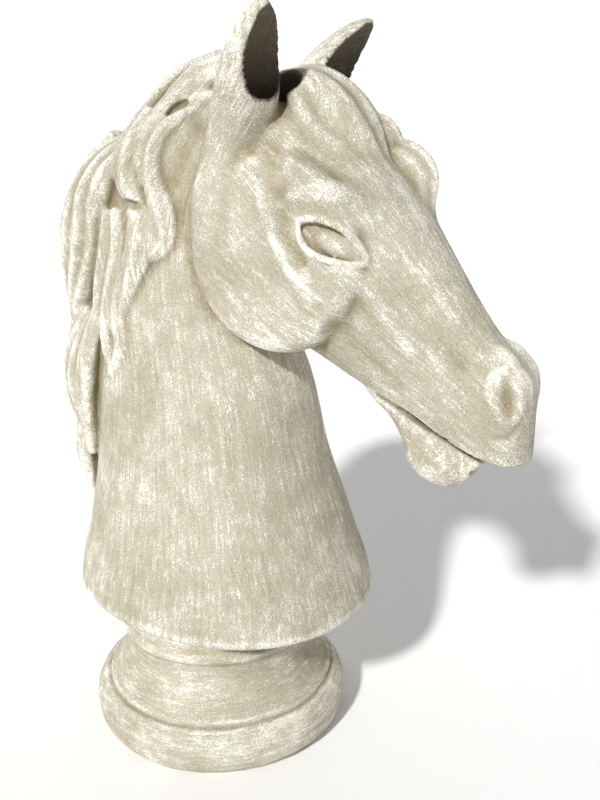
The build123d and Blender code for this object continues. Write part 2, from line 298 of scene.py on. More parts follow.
# ---- the bust
# Height, centre along X, half length and half width of the neck and its flared skirt
NECK = [
    (176, 2, 138, 134),
    (196, 6, 172, 157),
    (206, 11, 193, 172),
    (211, 13, 198.5, 176.5),
    (226, 13, 198.5, 175.5),
    (300, 8, 180, 156),
    (400, -3, 157, 131),
    (500, -15, 148, 110),
    (600, -36, 130, 92),
    (700, -36, 116, 78),
    (780, 0, 98, 64),
    (840, 46, 62, 42),
    (862, 62, 30, 22),
]
# Along the head: top, widest height, bottom, half width
HEAD = [
    (-95, 40, 0, -30, 26),
    (-75, 62, 0, -56, 46),
    (-35, 90, 4, -98, 68),
    (30, 101, 6, -128, 79),
    (92, 106, 6, -134, 83),
    (150, 95, -4, -116, 74),
    (205, 79, -18, -104, 62),
    (255, 64, -22, -96, 51),
    (305, 52, -16, -90, 43),
    (352, 47, -10, -86, 41),
    (390, 36, -12, -84, 38),
    (420, 18, -16, -76, 33),
    (450, 4, -20, -64, 27),
]
# Along the lower jaw and lip: top, bottom, half width
JAW = [
    (215, -40, -96, 40),
    (250, -44, -103, 37),
    (275, -44, -104, 35),
    (300, -46, -113, 34),
    (325, -48, -125, 34),
    (345, -48, -127, 32),
    (368, -50, -118, 28),
    (384, -54, -104, 22),
]
# Height of the mouth's line at each x, and how far the lower lip hangs under it
MOUTH = [(200, 534), (255, 512), (290, 496), (330, 477), (365, 463), (395, 457), (440, 454)]
GAPE = [(200, -3), (278, -3), (296, 2.8), (334, 3.6), (350, 6), (365, 9), (380, 13), (440, 16)]
MOUTH_CORNER = 215  # x behind which the lips are one
LIPS_MEET = (252, 272, 292, 312, 332, 350)  # places along x of the groove between closed lips
HEAD_ENDS, JAW_ENDS = (-95, 451), (215, 386)  # along the head
MUZZLE_FRONT = 425  # furthest x of the muzzle, which curves back by MUZZLE_CURVE to its sides
MUZZLE_CURVE = 0.011
CHEEK, CHEEK_RADIUS, CHEEK_FACE = (66, -36), 111, 93  # its middle along and above the head; y of its face
POLL_TOP = 862
# Details on the right side of the head: rows of (s, u, radius, lift off the skin)
BROW = [(50, 40, 8, -6), (63, 50, 12, -5), (80, 66, 13, -5), (102, 72, 13, -5), (122, 66, 8, -6)]
CHEEK_BONE = [
    (12, 24, 9, -6), (34, 13, 11, -5), (58, 2, 12, -5), (84, -12, 12, -5), (112, -20, 11, -5),
    (138, -28, 8, -6),
]
NOSE_CREST = [(140, 20, 7, -5), (166, 15, 10, -5), (186, 11, 10, -5), (212, 2, 9, -5), (250, -8, 7, -6)]
TEMPLE = [(-4, 52, 18, 13), (16, 36, 18, 12), (36, 30, 14, 10)]
UNDER_BONE = [(58, 20, 10, 7.5), (74, 5, 11, 8), (104, -6, 10, 7.5)]
BESIDE_NOSE = [(190, 44, 24, 22), (240, 30, 24, 21), (295, 16, 22, 19)]
BEFORE_CHEEK = [(186, -44, 24, 21), (226, -50, 22, 19), (262, -52, 16, 15)]
# Thick of the neck behind the ear and down the rear of the cheek: (x, y, z, radius)
NECK_MUSCLE = [(96, -44, 806, 30), (74, -52, 762, 34), (66, -54, 700, 40), (76, -50, 640, 38)]


def neck_shape():
    def function(x, y, z):
        sag = 0.035 * (x - 13) * np.clip((330 - z) / 100, 0, 1)
        centre, a, b = curve(NECK, z + sag)
        return meet(oval(x - centre, y, a, b, 2.15), z - POLL_TOP, 10)

    return (-220, -185, 176), (220, 185, 880), function


def head_shape():
    def function(x, y, z):
        s, u = to_head(x, z)
        top, middle, bottom, width = curve(HEAD, s)
        v = u - middle
        d = oval(y, v, width, np.where(v > 0, top - middle, middle - bottom), 2.25)
        d = meet(d, np.maximum(s - HEAD_ENDS[1], HEAD_ENDS[0] - s), 10)
        d = meet(d, x - MUZZLE_FRONT + MUZZLE_CURVE * y * y, 16)
        lip = np.minimum(curve(MOUTH, x + 0 * z)[0] - z, (x - MOUTH_CORNER) * 2.0)
        return meet(d, lip, 4)

    return (-10, -100, 420), (470, 100, 880), function


def muzzle_front():
    """What lies ahead of the muzzle's blunt front, to trim its bosses with."""

    def function(x, y, z):
        return MUZZLE_FRONT + 1 - 0.012 * y * y - x + 0 * z

    return (380, -90, 440), (460, 90, 640), function


def jaw_shape():
    def function(x, y, z):
        s, u = to_head(x, z)
        top, bottom, width = curve(JAW, s)
        d = oval(y, u - (top + bottom) / 2, width, (top - bottom) / 2, 2.2)
        d = meet(d, np.maximum(s - JAW_ENDS[1], JAW_ENDS[0] - s), 8)
        lip = z - curve(MOUTH, x + 0 * z)[0] + curve(GAPE, x + 0 * z)[0]
        return meet(d, lip, 5)

    return (200, -60, 380), (420, 60, 560), function


def cheek_shape():
    """The broad disc of the right cheek, over the rear of the jaw."""

    def function(x, y, z):
        s, u = to_head(x, z)
        edge = np.hypot(s - CHEEK[0], u - CHEEK[1]) - CHEEK_RADIUS
        face = -y - CHEEK_FACE + 0.0010 * ((s - 70) ** 2 + (u + 30) ** 2)
        return meet(meet(edge, face, 26), 10 + y, 10)

    return (0, -110, 540), (260, -10, 800), function


class Skin:
    """Places details on the right side of the head, as it was when this was made."""

    def __init__(self, field):
        self.field = field.copy()

    def point(self, s, u, lift=0.0):
        """The skin beside (s, u) of the head's side view, or lift above it."""
        p = self.field.march(head_point(s, u, -70.0), np.array([0, -1.0, 0]), 68.0)
        return p + self.field.normal(p) * lift

    def tube(self, rows):
        """Rows of (s, u, radius, lift)."""
        return tube([(*self.point(s, u, lift), radius) for s, u, radius, lift in rows])


def lip_line(skin, radii, lift):
    """A tube along the line of the lips, from the corner of the mouth to where they part."""
    places = [to_head(x, curve(MOUTH, x)[0]) for x in LIPS_MEET]
    return skin.tube([(*place, radius, lift) for place, radius in zip(places, radii)])


def sculpt_bust(field):
    """Fills a field over the right half, y < 0, with the neck and the head."""
    field.add(neck_shape())
    field.add(tube(NECK_MUSCLE), 22)
    field.add(head_shape(), 14)
    field.add(cheek_shape(), 7)
    field.add(jaw_shape(), 0)
    # chin, with the groove under the lip's roll
    field.add(ball(345, 0, -108, (38, 31, 23), 0, 10), 8)
    field.cut(tube([(*head_point(JAW_ENDS[1], -76, y), 4.0) for y in (-44, -22, 0)]), 4)
    # muzzle: the boss over the nostril, the soft bump above it, and the blunt front
    field.add(ball(348, -20, 27, (30, 18, 25), 10), 14)
    field.add(ball(324, -16, 42, (18, 12, 13)), 12)
    field.cut(muzzle_front(), 16)
    skin = Skin(field)
    for ridge in (BROW, CHEEK_BONE, NOSE_CREST):
        field.add(skin.tube(ridge), 16)
    field.cut(skin.tube(TEMPLE), 14)
    field.cut(skin.tube(UNDER_BONE), 12)
    field.cut(lip_line(skin, (2.4, 3.2, 3.6, 3.4, 2.6, 1.6), -0.2), 2)
    field.cut(skin.tube(BESIDE_NOSE), 16)
    field.cut(skin.tube(BEFORE_CHEEK), 14)
    sculpt_eye(field)
    sculpt_nostril(field)


# Upper and lower lids, from the rear to the nose: (s, u)
EYE_LINE = [(73, 23), (84, 35), (96, 43), (110, 48), (124, 49), (138, 46), (150, 40), (157, 34)]
EYE_LOWER = [(80, 20), (88, 12), (101, 8), (116, 11), (131, 18), (146, 27), (157, 34)]
EYE, EYE_TILT = (118, 29), radians(14)  # middle of the slit between the lids
EYE_HALF_LENGTH, EYE_HALF_HEIGHT, EYE_DEPTH = 42, 20, 7


def eyelid(skin, line):
    """A raised lid along the line, thinner to its corners, on a curve evened out over the skin."""
    count = len(line)
    points = np.array([skin.point(s, u, 0.6) for s, u in line])
    share = np.linspace(-1, 1, count)
    points[:, 1] = np.polyval(np.polyfit(share, points[:, 1], 4), share)
    return tube(np.column_stack([points, 4.0 - 1.6 * share ** 4]))


def sculpt_eye(field):
    """The socket, the eyeball in it and the lids round it."""
    skin = Skin(field)
    centre = skin.point(116, 30)
    out = skin.field.normal(centre)

    def socket(x, y, z):
        s, u = to_head(x, z)
        ds, du = s - EYE[0], u - EYE[1]
        along = ds * cos(EYE_TILT) + du * sin(EYE_TILT)
        above = du * cos(EYE_TILT) - ds * sin(EYE_TILT)
        bow = EYE_HALF_HEIGHT * np.clip(1 - (along / EYE_HALF_LENGTH) ** 2, 0, 1)
        rim = (np.abs(above) - bow) * 0.8
        floor = (x - centre[0]) * out[0] + (y - centre[1]) * out[1] + (z - centre[2]) * out[2]
        return meet(rim, -floor - EYE_DEPTH, 2)

    field.cut((centre - 60, centre + 60, socket), 2)
    deep = centre - out * 25.5
    s, u = to_head(deep[0], deep[2])
    field.add(ball(s, deep[1], u, (38, 24, 22), -10, 10), 1.5)
    for line in (EYE_LINE, EYE_LOWER):
        field.add(eyelid(skin, line), 4)


def sculpt_nostril(field):
    """The raised ring, the dish inside it and the crease under it, in rows of (ahead, above, radius)."""
    skin = field.copy()
    centre = np.array([409.0, -44.0, 534.0])
    forward = np.array([0.80, 0.60, 0.0])
    out = np.array([0.60, -0.80, 0.0])

    def on_skin(ahead, above, radius, lift):
        start = centre + forward * ahead + np.array([0, 0, above])
        return (*(skin.march(start, out, 45.0) + lift * out), radius)

    rim = [
        (2, 29, 3.5), (-10, 22, 5), (-15, 8, 5.5), (-12, -8, 5), (-5, -20, 5), (5, -28, 4.5),
        (13, -20, 3.5), (15, -6, 3), (13, 12, 3),
    ]
    field.add(tube([on_skin(a, b, r, -2.0) for a, b, r in rim]), 8)
    dish = [(-1, 18, 7), (-1, 8, 9), (1, -4, 9.5), (4, -15, 7)]
    field.cut(tube([on_skin(a, b, r, 3.5) for a, b, r in dish]), 5)
    crease = [(-14, -44, 1.6), (-3, -44, 2.8), (8, -40, 2.6), (13, -33, 1.6)]
    field.cut(tube([on_skin(a, b, r, 0.6) for a, b, r in crease]), 4)


# ---- ears
# Right ear, root to tip: point of its middle, half width, half depth
EAR = [
    ((78, -47, 776), 36, 33),
    ((88, -54, 800), 38, 34),
    ((104, -67, 832), 38, 33),
    ((124, -84, 866), 34, 29),
    ((141, -99, 893), 25, 20),
    ((152, -109, 909), 14, 12),
    ((159, -114, 918), 4, 4),
]
EAR_FACES = np.array([0.95, -0.20, -0.24])
# The cup cut out of it, likewise
EAR_CUP = [
    ((116, -66, 830), 16, 11),
    ((122, -71, 842), 25, 19),
    ((133, -80, 858), 29, 24),
    ((148, -94, 880), 25, 20),
    ((162, -107, 903), 13, 11),
]
# Pocket between the right ear and the forelock: (x, y, z, radius)
POLL_POCKET = [(140, -30, 850, 10), (126, -20, 842, 14), (112, -10, 830, 9)]


def ear_shapes():
    """The right ear and its cup."""
    shapes = []
    for table in (EAR, EAR_CUP):
        points = np.array([row[0] for row in table], float)
        faces = np.tile(EAR_FACES, (len(table), 1))
        shapes.append(lock(points, faces, [r[1] for r in table], [r[2] for r in table], count=6))
    return shapes


# ---- forelock
# Locks of hair on the head: strands, blend, rows of (s, y, u, half width, half depth)
FORELOCK = [
    (3, 26, [
        (-62, 2, 94, 26, 16), (-32, 2, 108, 34, 24), (0, 2, 112, 37, 27), (30, 3, 108, 36, 25),
        (58, 4, 101, 30, 19), (80, 4, 94, 18, 11),
    ]),
    (2, 16, [
        (-34, -24, 96, 12, 10), (-10, -32, 95, 16, 12), (16, -34, 92, 15, 10), (42, -30, 92, 10, 7),
    ]),
    (2, 5, [(32, 24, 110, 12, 12), (50, 28, 113, 17, 19), (66, 28, 108, 15, 17), (80, 26, 100, 8, 8)]),
    (2, 4, [
        (66, 26, 98, 14, 14), (88, 31, 106, 18, 23), (110, 32, 104, 19, 25), (130, 30, 94, 15, 17),
        (148, 26, 84, 8, 8),
    ]),
]


def forelock_shapes():
    for strands, blend, rows in FORELOCK:
        points = np.array([head_point(s, u, y) for s, y, u, _, _ in rows])
        outward = np.tile(UPWARD, (len(rows), 1))
        yield blend, lock(points, outward, [r[3] for r in rows], [r[4] for r in rows], strands)


# ---- mane
# Crest of the mane: outline in the median plane, lean from upright, half depth, half width
CREST = [
    ((84, 876), 96, 18, 22),
    ((50, 886), 80, 26, 34),
    ((0, 868), 68, 34, 48),
    ((-50, 832), 54, 42, 58),
    ((-105, 788), 50, 46, 66),
    ((-160, 752), 40, 50, 70),
    ((-200, 700), 20, 52, 70),
    ((-208, 640), 4, 48, 66),
    ((-202, 580), -4, 42, 58),
    ((-196, 520), -6, 36, 50),
    ((-196, 460), -4, 36, 46),
    ((-192, 400), -2, 30, 38),
    ((-186, 350), 0, 18, 26),
]


def crest_shape():
    points, outward = [], []
    for (x, z), lean, depth, _ in CREST:
        out = np.array([-cos(radians(lean)), 0, sin(radians(lean))])
        points.append(np.array([x, 0, z]) - out * depth)
        outward.append(out)
    return lock(points, outward, [row[3] for row in CREST], [row[2] for row in CREST])


# Locks of the mane's right side: strands, blend, rows of (x, y, z, half width, half depth)
RIGHT_LOCKS = [
    # great outer lock over the withers
    (3, 9, [
        (-72, -58, 782, 18, 9), (-106, -60, 756, 28, 16), (-130, -64, 722, 34, 20),
        (-145, -64, 682, 35, 21), (-156, -62, 644, 32, 20), (-168, -57, 604, 25, 17),
        (-179, -53, 572, 16, 12), (-184, -50, 545, 7, 6),
    ]),
    # teardrop in front of it
    (2, 7, [
        (-46, -50, 814, 12, 8), (-58, -54, 794, 18, 11), (-64, -61, 773, 21, 13), (-67, -66, 751, 21, 14),
        (-60, -71, 730, 17, 13), (-46, -76, 716, 9, 8),
    ]),
    # strand between the teardrop and the long lock
    (1, 7, [
        (43, -39, 855, 9, 6), (14, -47, 842, 13, 8), (-15, -53, 821, 15, 9), (-36, -59, 794, 15, 9),
        (-44, -65, 765, 12, 9), (-40, -71, 738, 7, 7),
    ]),
    # long lock behind the ear, its foot hooked back
    (2, 6, [
        (27, -53, 820, 5, 5), (4, -56, 811, 9, 8), (-16, -59, 797, 12, 10), (-27, -64, 774, 13, 11),
        (-27, -70, 752, 14, 12), (-20, -73, 732, 15, 12), (-12, -75, 713, 17, 13), (-6, -77, 694, 17, 13),
        (-5, -78, 676, 15, 12), (-13, -81, 660, 11, 10), (-27, -84, 652, 6, 6),
    ]),
    # rounded fold under the teardrop
    (2, 8, [
        (-52, -76, 708, 14, 7), (-40, -79, 694, 20, 11), (-37, -83, 670, 23, 13), (-45, -86, 644, 20, 12),
        (-55, -90, 612, 12, 8), (-62, -93, 588, 5, 4),
    ]),
    # three strands running down from it
    (2, 7, [
        (-101, -72, 700, 10, 6), (-103, -73, 665, 14, 9), (-113, -70, 630, 15, 10),
        (-124, -67, 600, 13, 9), (-120, -74, 575, 9, 8), (-108, -82, 556, 5, 5),
    ]),
    (2, 6, [
        (-84, -74, 700, 11, 7), (-78, -79, 662, 15, 10), (-82, -83, 628, 15, 11), (-92, -86, 594, 14, 10),
        (-96, -89, 560, 12, 9), (-94, -92, 530, 9, 7), (-86, -96, 508, 4, 4),
    ]),
    (2, 6, [
        (-64, -83, 650, 10, 6), (-68, -86, 622, 14, 8), (-74, -89, 595, 15, 9), (-71, -94, 568, 14, 9),
        (-66, -97, 546, 12, 7), (-74, -98, 524, 9, 6), (-86, -98, 505, 4, 3),
    ]),
    # middle lock
    (3, 7, [
        (-156, -60, 570, 12, 8), (-174, -54, 542, 21, 13), (-186, -50, 510, 27, 17),
        (-192, -48, 475, 29, 19), (-190, -48, 443, 24, 16), (-182, -52, 418, 15, 11),
        (-174, -56, 400, 6, 6),
    ]),
    (2, 7, [
        (-124, -78, 552, 8, 6), (-136, -76, 522, 14, 9), (-145, -74, 488, 17, 10), (-148, -74, 455, 15, 9),
        (-143, -78, 425, 10, 7), (-138, -82, 402, 5, 4),
    ]),
    (1, 14, [
        (-122, -78, 570, 18, 7), (-140, -76, 524, 28, 13), (-150, -74, 475, 30, 16),
        (-148, -76, 430, 25, 14), (-144, -79, 388, 13, 8),
    ]),
    # lowest lock
    (2, 7, [
        (-166, -58, 424, 14, 10), (-178, -56, 398, 20, 13), (-177, -58, 370, 19, 13),
        (-168, -63, 345, 13, 10), (-160, -68, 322, 6, 5),
    ]),
    # low strands beside the ear
    (2, 7, [(62, -26, 876, 10, 5), (42, -31, 869, 15, 7), (15, -38, 858, 16, 8), (-10, -45, 838, 12, 7)]),
    (1, 6, [(50, -46, 833, 6, 4), (31, -48, 833, 10, 6), (14, -50, 828, 8, 6)]),
]
# Hollows between them: blend, rows of (x, y, z, radius, lift)
RIGHT_HOLLOWS = [
    (18, [(28, -59, 796, 14, 10), (14, -65, 772, 18, 12), (6, -71, 745, 15, 10)]),
    (5, [(14, -52, 826, 3, 2.6), (2, -54, 821, 4.5, 2.6), (-9, -56, 813, 3, 2.6)]),
    (5, [(-62, -77, 714, 4, 1.6), (-49, -80, 711, 5.5, 1.6), (-37, -83, 712, 4, 1.6)]),
]
# Locks over the crest and the nape, in the median plane and to its left
BACK_LOCKS = [
    (3, 8, [
        (-150, 6, 788, 14, 8), (-186, 10, 752, 24, 12), (-210, 12, 700, 28, 14), (-217, 10, 640, 25, 12),
        (-212, 4, 590, 16, 9), (-208, -2, 560, 7, 5),
    ]),
    (2, 7, [
        (-204, -14, 592, 12, 7), (-212, -12, 550, 21, 12), (-216, -10, 505, 25, 14),
        (-217, -6, 462, 23, 13), (-212, 0, 425, 14, 9), (-208, 6, 400, 6, 5),
    ]),
    (2, 7, [(-194, 10, 430, 12, 7), (-204, 8, 395, 19, 11), (-202, 4, 358, 16, 9), (-194, 0, 326, 7, 5)]),
    (3, 8, [
        (20, 4, 880, 12, 6), (-30, 8, 862, 20, 9), (-80, 10, 822, 25, 11), (-124, 8, 786, 21, 9),
        (-150, 4, 764, 10, 6),
    ]),
]


def on_body(body, rows):
    """The rows' points, and which way is outwards there."""
    points = np.array([row[:3] for row in rows], float)
    return points, np.array([body.normal(p) for p in points])


def hair_lock(body, rows, strands):
    points, outward = on_body(body, rows)
    widths, depths = [row[3] for row in rows], [row[4] for row in rows]
    return lock(points, outward, widths, depths, strands)


def hair_hollow(body, rows):
    points, outward = on_body(body, rows)
    return tube([(*(p + row[4] * n), row[3]) for p, n, row in zip(points, outward, rows)])


def sculpt_mane(bust):
    """The mane's field, and the bust's with the crest that the locks lie on."""
    mane = bust.blank()
    mane.add(crest_shape())
    body = bust.copy()
    body.d = join(body.d, mane.d, 10)
    for strands, blend, rows in RIGHT_LOCKS:
        shape = hair_lock(body, rows, strands)
        mane.add(shape, blend)
        mane.add(mirrored(shape), blend)
    for strands, blend, rows in BACK_LOCKS:
        mane.add(hair_lock(body, rows, strands), blend)
    return mane, body


# ---- the whole
REAR, FRONT, SIDE, BOTTOM, TOP = -262.0, 448.0, 186.0, 150.0, 936.0  # ends of the sculpting grid


def make_fields(step):
    """The blended whole, and apart the bust, ears, forelock, mane and the hollows darkened with painted
    shade.
    """
    rows = int(np.ceil(SIDE / step))
    across = (np.arange(2 * rows) - rows + 0.5) * step
    axes = [np.arange(REAR, FRONT + step, step), across, np.arange(BOTTOM, TOP + step, step)]
    half = Field([axes[0], across[:rows], axes[2]], step)
    sculpt_bust(half)
    bust = Field(axes, step, np.concatenate([half.d, half.d[:, ::-1]], axis=1))
    ears, forelock = bust.blank(), bust.blank()
    ear, cup = ear_shapes()
    for shape in (ear, mirrored(ear)):
        ears.add(shape)
    for blend, shape in forelock_shapes():
        forelock.add(shape, blend)
    mane, body = sculpt_mane(bust)
    whole = bust.copy()
    whole.d = join(whole.d, ears.d, 14)
    whole.d = join(whole.d, forelock.d, 16)
    whole.d = join(whole.d, mane.d, 5)
    for blend, rows in RIGHT_HOLLOWS:
        shape = hair_hollow(body, rows)
        whole.cut(shape, blend)
        whole.cut(mirrored(shape), blend)
    # the ear cups, poll pockets and lips' line, which the stone's material darkens with painted shade
    hollows = bust.blank()
    pocket = tube(POLL_POCKET)
    for shape in (cup, mirrored(cup), pocket, mirrored(pocket)):
        whole.cut(shape, 3)
        hollows.add(shape)
    lips = lip_line(Skin(half), (-1.2, -0.6, -0.2, -0.2, -0.2, -0.2), 0.0)
    for shape in (lips, mirrored(lips)):
        hollows.add(shape)
    return whole, bust, ears, forelock, mane, hollows


# ---- fields to meshes
def surface(field):
    """Corner points and quads of a field's zero surface, by surface nets."""
    d = field.d
    inside = d < 0
    size = np.array(d.shape) - 1
    count = np.zeros(size, np.uint8)
    for corner in np.ndindex(2, 2, 2):
        count += inside[tuple(slice(c, c + n) for c, n in zip(corner, size))]
    active = (count > 0) & (count < 8)
    number = np.full(size, -1, np.int32)
    cells = np.argwhere(active)
    number[active] = np.arange(len(cells))
    total, hits = np.zeros((len(cells), 3)), np.zeros(len(cells))
    for axis in range(3):
        for offset in np.ndindex(2, 2):
            start = np.insert(np.array(offset), axis, 0)
            end = start.copy()
            end[axis] = 1
            a, b = (d[tuple((cells + corner).T)] for corner in (start, end))
            crossed = (a < 0) != (b < 0)
            share = a[crossed] / (a[crossed] - b[crossed])
            total[crossed] += start + share[:, None] * (end - start)
            hits[crossed] += 1
    points = (cells + total / hits[:, None]) * field.step + [axis[0] for axis in field.axes]
    quads = []
    for axis in range(3):
        others = [a for a in range(3) if a != axis]
        first = [slice(1, -1)] * 3
        first[axis] = slice(0, -1)
        second = list(first)
        second[axis] = slice(1, None)
        a, b = inside[tuple(first)], inside[tuple(second)]
        edges = np.argwhere(a != b)
        flip = a[tuple(edges.T)] != (axis == 1)
        ring = []
        for shift in ((0, 0), (1, 0), (1, 1), (0, 1)):
            cell = edges.copy()
            cell[:, others[0]] += shift[0]
            cell[:, others[1]] += shift[1]
            ring.append(number[tuple(cell.T)])
        quad = np.stack(ring, axis=1)
        quad[~flip] = quad[~flip][:, ::-1]
        quads.append(quad)
    return points, np.vstack(quads)


# ---- pieces
WALL = 14.0
UNDERSIDE, FLOOR_TOP = 178.0, 194.0  # heights of the bust's floor
SPIGOT_RADIUS = 66.5
HOLLOW_END = 310.0  # along the head; the muzzle is solid past it
LAP = 5.0  # how far pieces run under one another at their joints


def soften(values, rounds):
    """Values averaged with their neighbours' on the grid, the given number of times."""
    out = values.copy()
    for _ in range(rounds):
        for axis in range(3):
            a = np.moveaxis(out, axis, 0)
            a[1:-1] = 0.25 * a[:-2] + 0.5 * a[1:-1] + 0.25 * a[2:]
    return out


def region(piece, bust):
    """Below zero where a piece cast apart replaces the bust, down to a shallow rebate."""
    return np.maximum((piece.d - bust.d) / 2, -bust.d - 6)


def sunk(whole, apart):
    """The whole, kept where apart is below LAP and dipping under its neighbour past the joint."""
    out = whole.copy()
    out.d = np.maximum(out.d + np.clip(apart / 3, 0, 1), apart - LAP)
    return out


def shell_field(whole, bust, apart):
    """The hollow bust: the whole without the pieces cast apart, its floor bored for the spigot."""
    out = sunk(whole, -apart)
    x, y, z = np.ix_(*out.axes)
    hollow = np.maximum(bust.d + WALL, FLOOR_TOP - z)
    hollow = np.maximum(hollow, to_head(x, z)[0] - HOLLOW_END)
    bore = np.maximum(np.hypot(x, y) - SPIGOT_RADIUS, z - FLOOR_TOP - 20)
    for gap in (hollow, bore, z - UNDERSIDE):
        out.d = np.maximum(out.d, -gap)
    return out


def evened(points, quads, steps):
    """Points moved towards their neighbours' mean, by the share in each step."""
    count = len(points)
    a, b = quads.ravel(), np.roll(quads, -1, axis=1).ravel()
    degree = np.maximum(np.bincount(a, minlength=count) + np.bincount(b, minlength=count), 1)
    for step in steps:
        totals = [np.bincount(a, p[b], count) + np.bincount(b, p[a], count) for p in points.T]
        points = points + step * (np.column_stack(totals) / degree[:, None] - points)
    return points


def sculpted_surface(field):
    """A field's surface without the grid's steps, at its full volume."""
    points, quads = surface(field)
    return evened(points, quads, (0.5, -0.53, 0.5, -0.53)), quads


def in_scene(name, data):
    """A new object of the scene."""
    obj = bpy.data.objects.new(name, data)
    bpy.context.scene.collection.objects.link(obj)
    return obj


def mesh_object(name, points, quads):
    """A smooth mesh of quads, from points in millimetres."""
    mesh = bpy.data.meshes.new(name)
    mesh.vertices.add(len(points))
    mesh.vertices.foreach_set("co", (points / 1000).astype(np.float32).ravel())
    mesh.loops.add(quads.size)
    mesh.loops.foreach_set("vertex_index", quads.astype(np.int32).ravel())
    mesh.polygons.add(len(quads))
    mesh.polygons.foreach_set("loop_start", np.arange(0, quads.size, 4, dtype=np.int32))
    mesh.update(calc_edges=True)
    mesh.validate()
    mesh.shade_smooth()
    return in_scene(name, mesh)


def halved(obj, keep_left):
    """Cuts a whole shell at the median plane, closes the cut, and keeps the shading of the whole."""
    mesh = obj.data
    bm = bmesh.new()
    bm.from_mesh(mesh)
    layer = bm.verts.layers.float_vector.new("whole_normal")
    bm.normal_update()
    for v in bm.verts:
        v[layer] = v.normal
    cut = bmesh.ops.bisect_plane(
        bm,
        geom=bm.verts[:] + bm.edges[:] + bm.faces[:],
        plane_co=(0, 0, 0),
        plane_no=(0, 1, 0),
        clear_outer=not keep_left,
        clear_inner=keep_left,
    )
    rim = [e for e in cut["geom_cut"] if isinstance(e, bmesh.types.BMEdge)]
    caps = bmesh.ops.triangle_fill(bm, edges=rim, use_beauty=False, normal=(0, -1 if keep_left else 1, 0))
    flat = {f for f in caps["geom"] if isinstance(f, bmesh.types.BMFace)}
    for f in flat:
        f.smooth = False
        if (f.normal.y > 0) == keep_left:
            f.normal_flip()
    for v in bm.verts:
        n = v[layer]
        v[layer] = (n.x, 0 if abs(v.co.y) < 1e-6 else n.y, n.z)
    bm.faces.index_update()
    normals = []
    for f in bm.faces:
        for loop in f.loops:
            n = f.normal if f in flat else loop.vert[layer]
            normals.append(tuple(n) if Vector(n).length > 0.01 else tuple(loop.vert.normal))
    bm.to_mesh(mesh)
    bm.free()
    mesh.normals_split_custom_set(normals)


# ---- brushwork, kept on the meshes
SMALL_RELIEF, LARGE_RELIEF = 0.55, 1.6  # millimetres that count as fully raised


def corner_normals(points, quads):
    p = points[quads]
    face = np.cross(p[:, 2] - p[:, 0], p[:, 3] - p[:, 1])
    normals = np.zeros_like(points)
    for k in range(4):
        for i in range(3):
            normals[:, i] += np.bincount(quads[:, k], face[:, i], len(points))
    return normals / (np.linalg.norm(normals, axis=1)[:, None] + 1e-9)


def raised(points, quads, spacing):
    """Above zero on ridges and rounded edges, below it in creases."""
    normals = corner_normals(points, quads)
    scale_up = (3.0 / spacing) ** 2
    fine = evened(points, quads, [0.6] * max(int(3 * scale_up), 1))
    broad = evened(fine, quads, [0.6] * max(int(14 * scale_up), 2))
    small = ((points - fine) * normals).sum(axis=1) / SMALL_RELIEF
    large = ((fine - broad) * normals).sum(axis=1) / LARGE_RELIEF
    return np.clip(0.5 * small + 0.5 * large, -1.5, 1.5)


def relief_field(whole):
    """How far the whole stands out above its surroundings, as `raised` gives for one mesh."""
    near = np.clip(whole.d, -15, 15)
    fine_rounds, broad_rounds = (max(round(2 * (size / GRID) ** 2), 1) for size in (3.0, 8.0))
    fine = soften(near, fine_rounds)
    broad = soften(fine, broad_rounds)
    small, large = (fine - near) / SMALL_RELIEF, (broad - fine) / LARGE_RELIEF
    return Field(whole.axes, whole.step, 0.5 * small + 0.5 * large)


def brush_lines(points):
    """Coordinates in metres for the strokes of the neck and the head, and which of them holds."""
    x, y, z = points.T
    around = np.arctan2(y, curve(NECK, z)[0] - x)
    s, u = to_head(x, z)
    over = np.arctan2(y, u + 12)
    head = np.minimum(head_shape()[2](x, np.abs(y), z), cheek_shape()[2](x, -np.abs(y), z))
    on_head = np.clip((14 - head) / 14, 0, 1) * np.clip((z - 430) / 30, 0, 1)
    body = np.column_stack([z / 1000, around * 0.15, x / 1000])
    face = np.column_stack([s / 1000, over * 0.075, y / 1000])
    return body, face, on_head


def painted_hollow_shade(hollows, points):
    """1 inside the ear cups, the pockets beside them and the mouth's line, which are darkened with painted
    shade.
    """
    return np.clip(1 - (hollows.at(points) - 1) / 3, 0, 1)


def keep_paint(obj, body, face, on_head, lift, hollow_shade):
    """Stores on the mesh what the stone's material reads at each point."""
    vector, number = ("FLOAT_VECTOR", "vector"), ("FLOAT", "value")
    for name, (kind, field), values in (
        ("stroke_body", vector, body),
        ("stroke_face", vector, face),
        ("on_face", number, on_head),
        ("raised", number, lift),
        ("painted_hollow_shade", number, hollow_shade),
    ):
        layer = obj.data.attributes.new(name, kind, "POINT")
        layer.data.foreach_set(field, np.asarray(values, np.float32).ravel())


